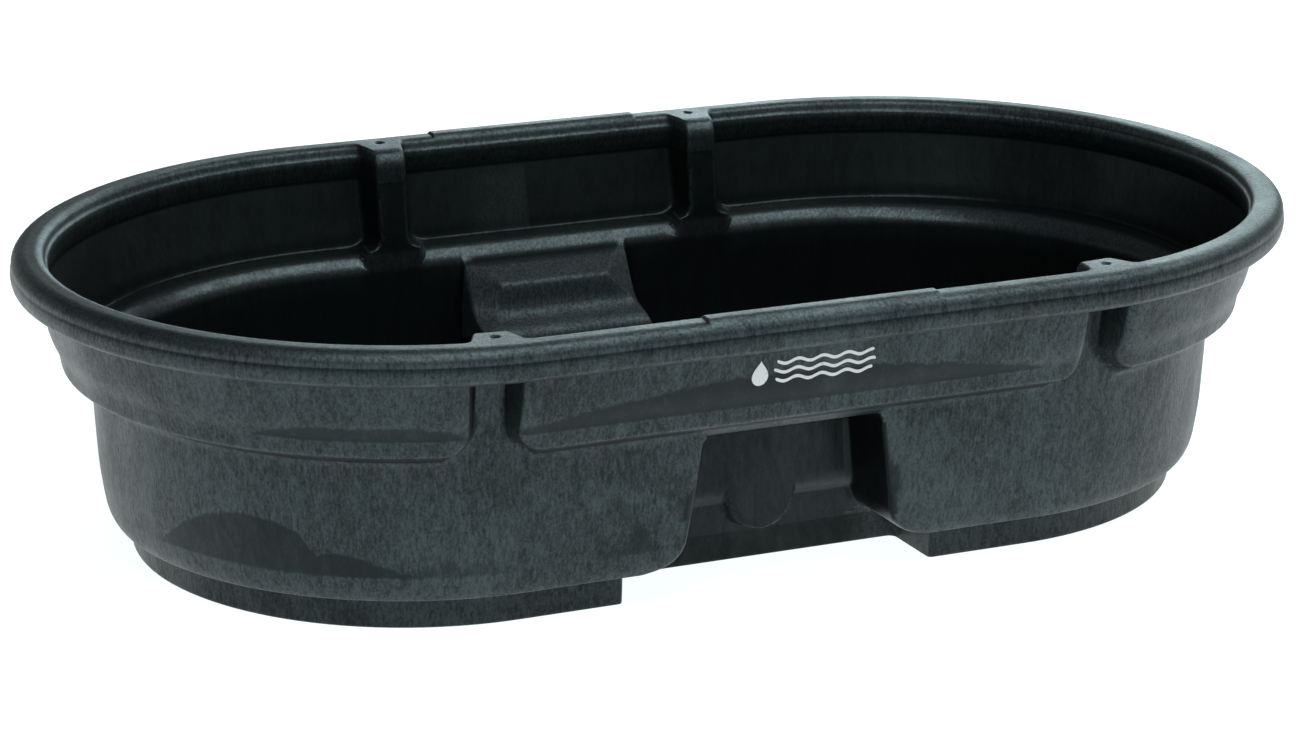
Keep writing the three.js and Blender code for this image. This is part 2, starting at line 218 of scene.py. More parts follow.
def half_side(side):
    """The control stations from the middle of a long side to the end of the tank."""
    groove = GROOVE_NEAR if side == "near" else GROOVE_FAR
    found = [{"at": at, "kind": "back"} for at in [0.0] + spread(0, 44, 2.4) + [44.0, 60.0, 80.0]]
    found += [{"at": at, "kind": name, "round": RECESS_ROUND[side]} for name, at in RECESS_STATIONS.items()]
    found += [{"at": PAD_HALF_LENGTH, "round": 0.6}, {"at": PAD_HALF_LENGTH + 2, "round": 0.6}]
    before = groove - GROOVE_MOUTH
    clear = before - PANEL_CORNER - CORNER_MARGIN
    start = PAD_HALF_LENGTH + 2
    if clear > RECESS_BLEND:
        found += [{"at": at} for at in spread(start, RECESS_BLEND, 22)] + [{"at": RECESS_BLEND}]
        start = RECESS_BLEND
    if clear > start:
        found += [{"at": at} for at in spread(start, clear, 22) + [clear]]
    found += [{"at": before, "corner": -1, "round": 8}]
    found += [{"at": groove - GROOVE_BOTTOM, "kind": "groove", "corner": -1, "round": 6}]
    found += [{"at": groove + at, "kind": "groove"} for at in spread(-8, 8, 1.25)]
    found += [{"at": groove + GROOVE_BOTTOM, "kind": "groove", "corner": 1, "round": 6}]
    found += [{"at": groove + GROOVE_MOUTH, "corner": 1, "round": 8}]
    after = groove + GROOVE_MOUTH + PANEL_CORNER + CORNER_MARGIN
    if after < RECESS_BLEND:
        found += [{"at": RECESS_BLEND}]
        after = RECESS_BLEND
    if after < STRAIGHT:
        found += [{"at": STRAIGHT}]
        after = STRAIGHT
    turn_step = WRAP_RADIUS * math.radians(3)
    found += [{"at": at} for at in [after] * (after > STRAIGHT) + spread(after, SIDE_END, turn_step)]
    return found + [{"at": SIDE_END}]


def whole_side(side):
    """Control stations of one long side, from the tank's left end to its right end."""
    right = half_side(side)
    left = [dict(s, at=-s["at"], corner=-s.get("corner", 0)) for s in right[1:]][::-1]
    return left + right


def corner_shift(height, radius):
    """How far a panel's lower corner has rounded away from its groove at a height."""
    down = np.clip(PANEL_CORNER_TOP - height, 0, radius)
    shift = radius - np.sqrt(radius**2 - down**2)
    return np.where(height > LOWEST_CORNER_ROW, shift, 0)


def recess_place(station, row, side):
    """Where a station lies along the wall at a control row: the recess has its own width at each row."""
    at = station["at"]
    reach = abs(at)
    wall_row, inside = row_place(row)
    if wall_row is None or wall_row >= len(NEAR_EDGE) or reach >= RECESS_BLEND:
        return at
    widths = RECESS_WIDTHS[side][at > 0]
    skin = WALL if inside else 0
    edge = widths["edge"][wall_row] + skin
    back = widths["back"][wall_row] + skin
    if station.get("kind") == "back":
        return math.copysign(reach / RECESS_STATIONS["back"] * back, at)
    if station.get("kind") == "cheek":
        return math.copysign(edge - CHEEK_DRAFT, at)
    share = (reach - RECESS_STATIONS["edge"]) / (RECESS_BLEND - RECESS_STATIONS["edge"])
    return math.copysign(edge + share * (RECESS_BLEND - edge), at)


def control_point(station, row, side):
    """(place along the wall, inset, height) of a station's control row."""
    kind = station.get("kind", "edge")
    wall_row = row_place(row)[0]
    inset, height = SECTIONS["panel"][row]
    other, share = "panel", 0
    if kind == "back":
        other, share = side, 1
    if kind == "cheek" and wall_row is not None and wall_row < len(NEAR_EDGE):
        other, share = side, CHEEK_SHARE[side][wall_row]
    if kind == "groove":
        other, share = "groove", 1
    inset += (SECTIONS[other][row][0] - inset) * share
    height += (SECTIONS[other][row][1] - height) * share
    rim_row = row - 1 - WALL_ROWS
    if rim_row in RAISED_RIM_ROWS and abs(station["at"]) <= PAD_HALF_LENGTH:
        height = RIM_TOP
    return recess_place(station, row, side), inset, height


def rounded(points, rounds, strips):
    """Rounds the corners of many lines at once.

    points is (corners, lines, 3). Each inner corner becomes a curve of ROUND_STEPS pieces, which starts
    rounds[i] before the corner at most, and strips[i] pieces join it to the next one.
    """
    curves = [points[0][None]]
    for i in range(1, len(points) - 1):
        corner = points[i]
        back = points[i - 1] - corner
        ahead = points[i + 1] - corner
        back_length = np.linalg.norm(back, axis=1, keepdims=True)
        ahead_length = np.linalg.norm(ahead, axis=1, keepdims=True)
        reach = np.minimum(rounds[i], 0.48 * np.minimum(back_length, ahead_length))
        start = corner + back / np.maximum(back_length, 1e-9) * reach
        end = corner + ahead / np.maximum(ahead_length, 1e-9) * reach
        if rounds[i] == 0:
            curves.append(corner[None])
            continue
        u = np.linspace(0, 1, ROUND_STEPS + 1)[:, None, None]
        curves.append((1 - u) ** 2 * start + 2 * u * (1 - u) * corner + u**2 * end)
    curves.append(points[-1][None])
    lines = [curves[0]]
    for i in range(1, len(curves)):
        last = lines[-1][-1]
        first = curves[i][0]
        for k in range(1, strips[i - 1]):
            lines.append((last + (first - last) * k / strips[i - 1])[None])
        lines.append(curves[i])
    return np.concatenate(lines)


def side_grid(side):
    """The fine grid of one long side as (stations, rows, 3), in (place along the wall, inset, height)."""
    stations = whole_side(side)
    control = np.array(
        [[control_point(station, row, side) for row in range(CONTROL_ROWS)] for station in stations]
    )
    row_rounds = [0] + WALL_ROUNDS + RIM_ROUNDS + INSIDE_ROUNDS[::-1] + [0]
    row_strips = [1] + WALL_STRIPS + RIM_STRIPS + INSIDE_STRIPS[::-1] + [1]
    fine_rows = rounded(control.transpose(1, 0, 2), row_rounds, row_strips).transpose(1, 0, 2)
    for station, line in zip(stations, fine_rows):
        crown = int(np.argmax(line[:, 2]))
        shift = corner_shift(line[:, 2], PANEL_CORNER)
        shift[crown:] = corner_shift(line[crown:, 2] - INSIDE_CORNER_RISE, PANEL_CORNER - WALL)
        line[:, 0] += station.get("corner", 0) * shift
    station_rounds = [station.get("round", 0) for station in stations]
    return rounded(fine_rows, station_rounds, [1] * len(stations))


def wall_points(grid, side):
    """Turns (place along the wall, inset, height) into x, y, z in millimetres."""
    at, inset, height = grid[..., 0], grid[..., 1], grid[..., 2]
    turn = np.maximum(np.abs(at) - STRAIGHT, 0) / WRAP_RADIUS
    radius = END_RADIUS - inset
    x = np.sign(at) * (np.minimum(np.abs(at), STRAIGHT) + radius * np.sin(turn))
    y = radius * np.cos(turn) * (-1 if side == "near" else 1)
    return np.stack([x, y, height], -1)


def smooth_step(value):
    value = np.clip(value, 0, 1)
    return value * value * (3 - 2 * value)


def fade_in(value, start, length):
    """0 up to start, then rising smoothly to 1 over the length. With a negative length it falls instead."""
    return smooth_step((value - start) / length)


def raise_bosses(points, outer):
    """Presses the blank boss and the drain boss out of the backs of the recesses."""
    x, y, z = points[..., 0], points[..., 1], points[..., 2]
    on_near = outer & (y < -200) & (y > -BLANK_BOSS_FACE - 1) & (z < BLANK_BOSS_TOP)
    away = np.hypot(x, np.maximum(BLANK_BOSS_Z - z, 0))
    share = fade_in(away, BLANK_BOSS_RADIUS + BOSS_SPREAD, -BLANK_BOSS_SLOPE)
    near = y + (np.minimum(y, -BLANK_BOSS_FACE) - y) * share
    points[..., 1] = np.where(on_near, near, y)
    on_far = outer & (y > FAR_BACK_Y[0]) & (y < FAR_BACK_Y[1]) & (z > FAR_BACK_Z[0]) & (z < FAR_BACK_Z[1])
    away = np.hypot(x, z - DRAIN_Z)
    share = fade_in(away, DRAIN_BOSS_RADIUS + BOSS_SPREAD, -DRAIN_BOSS_SLOPE)
    far = y + (DRAIN_BOSS_FACE - y) * share
    points[..., 1] = np.where(on_far, far, points[..., 1])


def press_dimples(points):
    """Presses a round dimple into the top of each lug."""
    x, y, z = points[..., 0], points[..., 1], points[..., 2]
    turn = (GROOVE_NEAR - STRAIGHT) / WRAP_RADIUS
    near_x = STRAIGHT + (END_RADIUS - LUG_INSET_NEAR) * math.sin(turn)
    near_y = -(END_RADIUS - LUG_INSET_NEAR) * math.cos(turn)
    for side in (-1, 1):
        for lug_x, lug_y in ((near_x, near_y), (GROOVE_FAR, END_RADIUS - LUG_INSET_FAR)):
            away = np.hypot(x - side * lug_x, y - lug_y)
            depth = DIMPLE_DEPTH * fade_in(away, DIMPLE_RADIUS + 1, -DIMPLE_SLOPE)
            points[..., 2] = np.where(z > LUG_TOP - 2, points[..., 2] - depth, points[..., 2])


# ---------------------------------------------------------------- values of the shell's points
# The foam's material reads them. Each is from 0 to 1.
SHORTEST_RISE, SHORTEST_STEP = 0.3, 0.6  # steps of the grid below which a bend isn't trusted, in millimetres
EDGE_BEND = (0.03, 0.2)  # bend per millimetre from which an edge gets a painted highlight, and over how much more
CREVICE_SHADE_BEND = (0.02, 0.14)  # the same for the painted shade in a hollow
# Strengths of the painted shade: in hollows, under the shelf, on the foot and all over the recesses.
CREVICE_SHADE, SHELF_SHADOW, FOOT_SHADE, RECESS_SHADE = 0.6, 0.9, 0.5, 0.18
CHEEK_X = 80.0  # the recesses' cheeks lie further out
CHEEK_TURN = (0.45, 0.4)  # sideways share of the normal from which a cheek gets painted shade, and over how much more
SHELF_INSET = 100.0
SHELF_SHADE = (136, 16)  # height from which it is dark under the shelf, and over how much more

# Areas of painted shade above the two creases of the near side, with the grain hidden in them. Each has the x
# of its middle, its half length, its height over the crease, and two powers that shape its top.
LOW_CREASE_SHADE = [(-505, 57, 53, 2, 0.5), (-440, 110, 24, 1, 1)]
HIGH_CREASE_SHADE = [(-30, 330, 32, 2, 1), (-425, 105, 14, 4, 1)]
CREASE_SHADE_SINK = 12.0  # how far under the crease the tops run between the areas
CREASE_SHADE_RANGE = 60.0  # change of height over which the value goes from 0 to 1
LOW_CREASE_SHADE_END, HIGH_CREASE_SHADE_START = 150, 190
PANEL_INSET = 55  # the panels lie less far in than this, and the grooves further

SCUFF_BOX_X = (-108, 90)
SCUFF_BOX_INSET = 84
SCUFF_BOX_TOP = 172
LEDGE_EDGE = (73, 182)  # inset and height of the middle of the ledge's edge
LEDGE_EDGE_REACH = (12.6, 14.4)  # how far from it the scuff and painted highlight end
LEDGE_EDGE_FADE = 9
SCUFF_PATCH_X = (-100, -16)
SCUFF_PATCH_Z = (196, 272)
# Strengths: pale scuffed grain on the ledge's edge that also paints its highlight band, and a scuffed patch
LEDGE_SCUFF_AND_HIGHLIGHT, PATCH_SCUFF = 0.55, 0.3


def grid_bends(points):
    """The normals of a closed grid of rings, and how sharply it bends out along its rows and its rings."""
    before, after = np.roll(points, 1, 0), np.roll(points, -1, 0)
    up = np.zeros_like(points)
    up[:, 1:-1] = points[:, 2:] - points[:, :-2]
    bend = np.zeros_like(points)
    bend[:, 1:-1] = points[:, 2:] + points[:, :-2] - 2 * points[:, 1:-1]
    rise = np.ones(points.shape[:2])
    rise[:, 1:-1] = np.linalg.norm(up[:, 1:-1], axis=2) / 2
    step = np.linalg.norm(after - points, axis=2)
    normals = np.cross(after - before, up)
    normals /= np.maximum(np.linalg.norm(normals, axis=2, keepdims=True), 1e-9)
    up_rows = -(bend * normals).sum(2) / np.maximum(rise, SHORTEST_RISE) ** 2
    round_rings = -((before + after - 2 * points) * normals).sum(2) / np.maximum(step, SHORTEST_STEP) ** 2
    return normals, up_rows, round_rings


def wall_inset(points):
    """How far each point lies in from the rim's outline."""
    x, y = points[..., 0], points[..., 1]
    return END_RADIUS - np.hypot(np.maximum(np.abs(x) - STRAIGHT, 0), y)


def recess_skin(points, outer):
    """The outside skin within the recesses."""
    x, y, z = np.abs(points[..., 0]), np.abs(points[..., 1]), points[..., 2]
    return outer & (x < RECESS_REACH) & (y < END_RADIUS - RECESS_MOUTH) & (z < LOWER_WALL[-1][1] + 3)


def painted_shade_places(points, outer, normals, inward_bend):
    """How much painted shade each point gets: in hollows, on the recesses' cheeks, as a shadow under the
    shelf, on the foot and all over the recesses.
    """
    x, y, z = np.abs(points[..., 0]), np.abs(points[..., 1]), points[..., 2]
    deep = recess_skin(points, outer)
    painted_shade = CREVICE_SHADE * fade_in(inward_bend, *CREVICE_SHADE_BEND)
    cheeks = deep * (x > CHEEK_X) * fade_in(np.abs(normals[..., 0]), *CHEEK_TURN)
    under_shelf = SHELF_SHADOW * deep * (y < END_RADIUS - SHELF_INSET) * fade_in(z, *SHELF_SHADE)
    foot = FOOT_SHADE * outer * fade_in(z, BASE[1][1] + 1, -2)
    return np.maximum.reduce([painted_shade, cheeks, under_shelf, foot, RECESS_SHADE * deep])


def crease_shade_top(x, crease, areas):
    """Height of the top of the painted shade areas above a crease at each x."""
    tops = []
    for middle, half_length, height, power, bulge in areas:
        along = np.clip(np.abs(x - middle) / half_length, 0, 1)
        tops.append((height + CREASE_SHADE_SINK) * (1 - along**power) ** bulge - CREASE_SHADE_SINK)
    return crease / MM + np.maximum.reduce(tops)


def near_crease_shade(points, outer):
    """Painted shade above the near side's creases: half at the edge of an area, more inside it and less
    outside it.
    """
    x, y, z = points[..., 0], points[..., 1], points[..., 2]
    high = crease_shade_top(x, CREASES[0], HIGH_CREASE_SHADE) - z
    low = crease_shade_top(x, CREASES[1], LOW_CREASE_SHADE) - z
    on_panel = (z > HIGH_CREASE_SHADE_START) & (wall_inset(points) < PANEL_INSET)
    inside_it = np.where(z < LOW_CREASE_SHADE_END, low, np.where(on_panel, high, -CREASE_SHADE_RANGE))
    return np.clip(0.5 + inside_it / CREASE_SHADE_RANGE, 0, 1) * (outer & (y < 0) & (z < BEAD_Z))


def scuffs_and_ledge_highlight(points, inner):
    """Pale grain inside: on the far recess's box, the ledge's edge and a patch of the panel over the box. On
    the ledge's edge it also paints the ledge's highlight band.
    """
    x, y, z = points[..., 0], points[..., 1], points[..., 2]
    inset = wall_inset(points)
    far = inner & (y > 0)
    box = far & (x > SCUFF_BOX_X[0]) & (x < SCUFF_BOX_X[1]) & (inset > SCUFF_BOX_INSET) & (z < SCUFF_BOX_TOP)
    box = box * fade_in(z, 10, 6)
    ledge = LEDGE_SCUFF_AND_HIGHLIGHT * inner
    for away, reach in zip((inset - LEDGE_EDGE[0], z - LEDGE_EDGE[1]), LEDGE_EDGE_REACH):
        ledge = ledge * fade_in(np.abs(away), reach, -LEDGE_EDGE_FADE)
    patch = PATCH_SCUFF * (far & (z > SCUFF_PATCH_Z[0]) & (x < SCUFF_PATCH_X[1]))
    patch = patch * fade_in(z, SCUFF_PATCH_Z[1], -20) * fade_in(x, SCUFF_PATCH_X[0], 45)
    return np.maximum.reduce([box, ledge, patch])


def shell_values(points, outer):
    normals, up_rows, round_rings = grid_bends(points)
    return {
        # a painted highlight on the convex edges
        "edge_highlight": fade_in(np.maximum(up_rows, round_rings), *EDGE_BEND),
        # painted shade in hollows, on the cheeks, under the shelf, on the foot and in the recesses
        "painted_shade": painted_shade_places(points, outer, normals, -np.minimum(up_rows, round_rings)),
        # the outer skin and the rim, but not the recesses; the foam paints shade on the inside skin and the
        # recesses
        "outside": (outer | (points[..., 2] > BEAD_Z)) & ~recess_skin(points, outer),
        # pale scuffed grain, which on the ledge's edge also paints its highlight band
        "scuff": scuffs_and_ledge_highlight(points, ~outer),
        # painted shade above the near side's creases
        "crease_shade": near_crease_shade(points, outer),
    }


# ---------------------------------------------------------------- the shell
def tank_shell():
    near = wall_points(side_grid("near"), "near")
    far = wall_points(side_grid("far"), "far")[1:-1][::-1]
    points = np.concatenate([near, far])
    rings, rows = points.shape[:2]
    crown_row = int(np.argmax(points[0, :, 2]))
    outer = np.zeros((rings, rows), bool)
    outer[:, :crown_row] = True
    raise_bosses(points, outer)
    press_dimples(points)
    mesh = bpy.data.meshes.new("trough_shell")
    faces = []
    for i in range(rings):
        here, there = i * rows, (i + 1) % rings * rows
        faces += [(here + k, there + k, there + k + 1, here + k + 1) for k in range(rows - 1)]
    faces.append([i * rows for i in range(rings)][::-1])
    faces.append([i * rows + rows - 1 for i in range(rings)])
    mesh.from_pydata((points.reshape(-1, 3) * MM).tolist(), [], faces)
    for name, value in shell_values(points, outer).items():
        attribute = mesh.attributes.new(name, "FLOAT", "POINT")
        attribute.data.foreach_set("value", value.reshape(-1).astype(np.float32))
    shell = new_object("trough_shell", mesh)
    cut(shell, round_bar(DRAIN_HOLE_RADIUS, *DRAIN_HOLE_Y, 64))
    shade(shell, weighted=True)
    return shell


# ---------------------------------------------------------------- mesh helpers
def new_object(name, mesh):
    made = bpy.data.objects.new(name, mesh)
    bpy.context.scene.collection.objects.link(made)
    return made


def apply_modifiers(piece):
    evaluated = piece.evaluated_get(bpy.context.evaluated_depsgraph_get())
    mesh = bpy.data.meshes.new_from_object(evaluated)
    piece.modifiers.clear()
    piece.data = mesh


def shade(piece, weighted=False):
    """Smooth shading. Weighted normals keep the flat areas between small rounds flat."""
    for polygon in piece.data.polygons:
        polygon.use_smooth = True
    if weighted:
        modifier = piece.modifiers.new("normals", "WEIGHTED_NORMAL")
        modifier.weight = 50
        modifier.keep_sharp = False


def cut(piece, tool):
    """Cuts the tool's shape out of the piece and removes the tool."""
    modifier = piece.modifiers.new("cut", "BOOLEAN")
    modifier.operation = "DIFFERENCE"
    modifier.solver = "MANIFOLD"
    modifier.object = tool
    apply_modifiers(piece)
    bpy.data.objects.remove(tool)


def ring_mesh(name, rings, closed=False):
    """A closed solid from rings of points in millimetres, which follow each other along its profile."""
    rings = np.asarray(rings, float)
    count, around = rings.shape[:2]
    faces = []
    last = count if closed else count - 1
    for i in range(last):
        here, there = i * around, (i + 1) % count * around
        faces += [
            (here + k, here + (k + 1) % around, there + (k + 1) % around, there + k) for k in range(around)
        ]
    if not closed:
        faces.append(list(range(around))[::-1])
        faces.append([(count - 1) * around + k for k in range(around)])
    mesh = bpy.data.meshes.new(name)
    mesh.from_pydata((rings.reshape(-1, 3) * MM).tolist(), [], faces)
    made = new_object(name, mesh)
    shape = bmesh.new()
    shape.from_mesh(mesh)
    bmesh.ops.recalc_face_normals(shape, faces=shape.faces)
    shape.to_mesh(mesh)
    shape.free()
    return made


def drain_ring(radii, y, around=96):
    """A ring of points round the drain axis. radii is one radius, or one for each point."""
    angle = np.arange(around) / around * 2 * math.pi
    radii = np.broadcast_to(radii, around)
    x, z = radii * np.cos(angle), DRAIN_Z + radii * np.sin(angle)
    return np.stack([x, np.broadcast_to(y, around), z], 1)


def round_bar(radius, y_from, y_to, around):
    return ring_mesh("bar", [drain_ring(radius, y_from, around), drain_ring(radius, y_to, around)])


# ---------------------------------------------------------------- drain pieces
THREAD_PITCH = 2.209
THREAD_DEPTH = 0.95
RINGS_PER_TURN = 8
THREAD_FADE = 1.6  # length over which a thread runs out at its ends
AROUND = 144

FLANGE_FROM, FLANGE_TO = 251.6, 257.6
FLANGE_RADIUS = 34.0
BODY_RADIUS = 24.7
BODY_END = 220.5
BORE_RADIUS = 19.4
NUT_FROM, NUT_TO = 226.2, 236.2
NUT_ACROSS = 58.0
NUT_BORE = 25.1
HEAD_FROM, HEAD_TO = 260.7, 265.7
HEAD_RADIUS = 26.0
SHANK_RADIUS = 19.0
SHANK_END = 236.7
HOLLOW_RADIUS = 14.0
DRIVE_HALF = 12.0
DRIVE_TOP = 278.7
DRIVE_FILLET = ((1.3, 0.15), (0.55, 0.5), (0.15, 1.1), (0.0, 2.0))  # (growth of the half width, height)
DRIVE_LIMIT = 17.2
THREAD_FLANKS = 1.25  # how steep a thread's flanks are
FITTING_WASHER = {"inner": 25.0, "outer": 33.0, "y_from": 248.3, "y_to": 251.3, "ribs": (27.5, 30.5)}
PLUG_WASHER = {"inner": 19.4, "outer": 25.0, "y_from": 257.9, "y_to": 260.4, "ribs": (22.2,)}
WASHER_EDGE, RIB_HALF_WIDTH, RIB_DEPTH = 0.5, 0.9, 0.35


def around_angles():
    return np.arange(AROUND) / AROUND * 2 * math.pi


def ring_at(radii, y):
    return drain_ring(radii, y, AROUND)


def thread_rings(crest, sign, y_from, y_to):
    """Rings of a right-handed thread. Its root lies on the sign's side of the crest's radius."""
    count = int(abs(y_to - y_from) / THREAD_PITCH * RINGS_PER_TURN)
    rings = []
    for y in np.linspace(y_from, y_to, count):
        turn = (y / THREAD_PITCH + around_angles() / (2 * math.pi)) % 1
        depth = 1 - np.clip(THREAD_FLANKS * np.abs(2 * turn - 1), 0, 1)
        fade = smooth_step(min(abs(y - y_from), abs(y - y_to)) / THREAD_FADE)
        rings.append(ring_at(crest + sign * THREAD_DEPTH * depth * fade, y))
    return rings


def bevel(radius, y, radius_in, y_in):
    """Three rings that round the corner at (radius, y): it starts at y_in and ends at radius_in."""
    return [
        ring_at(radius, y_in),
        ring_at(radius + (radius_in - radius) * 0.3, y + (y_in - y) * 0.3),
        ring_at(radius_in, y),
    ]


def face_groove(outer, inner, y, depth, slope):
    """Four rings of a shallow groove in a face."""
    floor = [ring_at(outer - slope, y - depth), ring_at(inner + slope, y - depth)]
    return [ring_at(outer, y)] + floor + [ring_at(inner, y)]


def hex_radii(half_across, limit):
    """Radii of a hexagon with its corners cut off at a limit."""
    angle = (around_angles() + math.pi / 6) % (math.pi / 3) - math.pi / 6
    return np.minimum(half_across / np.cos(math.pi / 6 - np.abs(angle)), limit)


def square_radii(half_across, sharpness=11):
    """Radii of a square with rounded corners."""
    angle = around_angles()
    spread_out = np.abs(np.cos(angle)) ** sharpness + np.abs(np.sin(angle)) ** sharpness
    return half_across / spread_out ** (1 / sharpness)


def fitting_body():
    rings = thread_rings(BORE_RADIUS, 1, FLANGE_TO - 1.5, BODY_END + 0.8)
    rings += [ring_at(BORE_RADIUS + 0.6, BODY_END), ring_at(BODY_RADIUS - 1.2, BODY_END)]
    rings += thread_rings(BODY_RADIUS, -1, BODY_END + 1.0, FLANGE_FROM - 4.0)
    rings += [ring_at(BODY_RADIUS, FLANGE_FROM)]
    rings += bevel(FLANGE_RADIUS, FLANGE_FROM, FLANGE_RADIUS - 0.8, FLANGE_FROM + 0.8)[::-1]
    grip = FLANGE_RADIUS - 0.7 * smooth_step(1.4 - 4 * np.abs(np.sin(9 * around_angles())))
    rings += [ring_at(grip, FLANGE_FROM + 1.4), ring_at(grip, FLANGE_TO - 1.8)]
    rings += bevel(FLANGE_RADIUS, FLANGE_TO, FLANGE_RADIUS - 1.4, FLANGE_TO - 1.4)
    rings += face_groove(27.6, 26.0, FLANGE_TO, 0.5, 0.4)
    rings += [ring_at(BORE_RADIUS + 1.2, FLANGE_TO), ring_at(BORE_RADIUS + 0.2, FLANGE_TO - 1.0)]
    return ring_mesh("fitting_body", rings, closed=True)


def fitting_nut():
    half = NUT_ACROSS / 2
    rings = [ring_at(hex_radii(half, 29.6), NUT_FROM), ring_at(hex_radii(half, 31.4), NUT_FROM + 0.7)]
    rings += [ring_at(hex_radii(half, 33.0), NUT_FROM + 1.7), ring_at(hex_radii(half, 33.0), NUT_TO - 1.7)]
    rings += [ring_at(hex_radii(half, 31.4), NUT_TO - 0.7), ring_at(hex_radii(half, 29.6), NUT_TO)]
    rings += [ring_at(NUT_BORE + 1.4, NUT_TO)]
    rings += thread_rings(NUT_BORE, 1, NUT_TO - 0.9, NUT_FROM + 0.9)
    rings += [ring_at(NUT_BORE + 1.4, NUT_FROM)]
    return ring_mesh("fitting_nut", rings, closed=True)


def washer(name, inner, outer, y_from, y_to, ribs):
    """A flat ring gasket with rounded edges and small pressed rings on both faces."""
    edge, half, depth = WASHER_EDGE, RIB_HALF_WIDTH, RIB_DEPTH
    rings = [ring_at(inner, y_from + edge), ring_at(inner + edge, y_from)]
    for rib in ribs:
        rings += [ring_at(rib - half, y_from), ring_at(rib, y_from + depth), ring_at(rib + half, y_from)]
    rings += [ring_at(outer - edge, y_from), ring_at(outer, y_from + edge), ring_at(outer, y_to - edge)]
    rings += [ring_at(outer - edge, y_to)]
    for rib in ribs[::-1]:
        rings += [ring_at(rib + half, y_to), ring_at(rib, y_to - depth), ring_at(rib - half, y_to)]
    rings += [ring_at(inner + edge, y_to), ring_at(inner, y_to - edge)]
    return ring_mesh(name, rings, closed=True)


def plug_body():
    rings = [ring_at(4.0, HEAD_FROM - 3), ring_at(HOLLOW_RADIUS - 1.2, HEAD_FROM - 3)]
    rings += [ring_at(HOLLOW_RADIUS - 0.3, HEAD_FROM - 3.3), ring_at(HOLLOW_RADIUS, HEAD_FROM - 4.2)]
    rings += [ring_at(HOLLOW_RADIUS + 0.4, SHANK_END + 0.5), ring_at(HOLLOW_RADIUS + 0.9, SHANK_END)]
    rings += [ring_at(SHANK_RADIUS - 1.8, SHANK_END), ring_at(SHANK_RADIUS - 0.4, SHANK_END + 1.3)]
    rings += thread_rings(SHANK_RADIUS, -1, SHANK_END + 1.6, HEAD_FROM - 3.2)
    rings += [ring_at(SHANK_RADIUS, HEAD_FROM), ring_at(HEAD_RADIUS - 0.6, HEAD_FROM)]
    rings += [ring_at(HEAD_RADIUS - 0.1, HEAD_FROM + 0.5)]
    grip = HEAD_RADIUS - 0.8 * smooth_step(1.3 - 3 * np.abs(np.sin(12 * around_angles())))
    rings += [ring_at(grip, HEAD_FROM + 1.1), ring_at(grip, HEAD_TO - 1.8)]
    rings += bevel(HEAD_RADIUS, HEAD_TO, HEAD_RADIUS - 1.4, HEAD_TO - 1.4)
    rings += face_groove(22.5, 19.9, HEAD_TO, 0.6, 0.5) + [ring_at(17.5, HEAD_TO)]
    for grow, y in DRIVE_FILLET:
        radii = np.minimum(square_radii(DRIVE_HALF + grow), DRIVE_LIMIT)
        rings.append(ring_at(radii, HEAD_TO + y))
    rings += [ring_at(square_radii(DRIVE_HALF - 0.5), DRIVE_TOP - 1.6)]
    rings += [ring_at(square_radii(DRIVE_HALF - 0.8), DRIVE_TOP - 0.5)]
    rings += [ring_at(square_radii(DRIVE_HALF - 1.6), DRIVE_TOP), ring_at(square_radii(8.4), DRIVE_TOP)]
    rings += [ring_at(square_radii(7.8), DRIVE_TOP - 0.7), ring_at(square_radii(7.2), HEAD_TO + 3.6)]
    rings += [ring_at(square_radii(6.4), HEAD_TO + 3.0)]
    return ring_mesh("plug_body", rings)


# ---------------------------------------------------------------- water sign on the near panel
SIGN_FOOT = (-(END_RADIUS - PANEL[3][0]), PANEL[3][1])  # y and z of the panel's lower edge
SIGN_HEAD = (-(END_RADIUS - PANEL[4][0]), PANEL[4][1])
SIGN_LIFT = 0.05
SIGN_THICKNESS = 0.3
WAVE_LENGTH = 25.5
WAVE_HEIGHT = 1.9
WAVE_WIDTH = 3.4
WAVE_ENDS = ((-41, 59), (-43.5, 61.5), (-41, 59))
WAVE_FOOT = 7.5
WAVE_GAP = 9.3
DROP_X = -57
DROP_FOOT = 3.5
DROP_HEIGHT = 26
DROP_HALF_WIDTH = 8.2
DROP_BELLY = 0.36  # share of its height where it is widest
DROP_TAPER = 1.25


def sign_rings(left, right):
    """Rings of four points for a flat shape on the panel between two edge lines of (x, up the panel)."""
    slope = np.array(SIGN_HEAD) - SIGN_FOOT
    slope /= np.linalg.norm(slope)
    outward = np.array([-slope[1], slope[0]])
    rings = []
    for edge_a, edge_b in zip(left, right):
        corners = []
        for (x, up), lift in ((edge_a, 0), (edge_b, 0), (edge_b, 1), (edge_a, 1)):
            y, z = np.array(SIGN_FOOT) + slope * up + outward * (SIGN_LIFT + SIGN_THICKNESS * lift)
            corners.append((x, y, z))
        rings.append(corners)
    return np.array(rings)


def drop_rings():
    rise = np.linspace(0, 1, 41)
    below = np.sqrt(np.clip(1 - ((DROP_BELLY - rise) / DROP_BELLY) ** 2, 0, 1))
    over = np.clip((rise - DROP_BELLY) / (1 - DROP_BELLY), 0, 1)
    width = np.where(rise < DROP_BELLY, below, np.cos(over * math.pi / 2) ** DROP_TAPER)
    half = DROP_HALF_WIDTH * np.maximum(width, 0.01)
    up = DROP_FOOT + DROP_HEIGHT * rise
    return sign_rings(np.stack([DROP_X - half, up], 1), np.stack([DROP_X + half, up], 1))


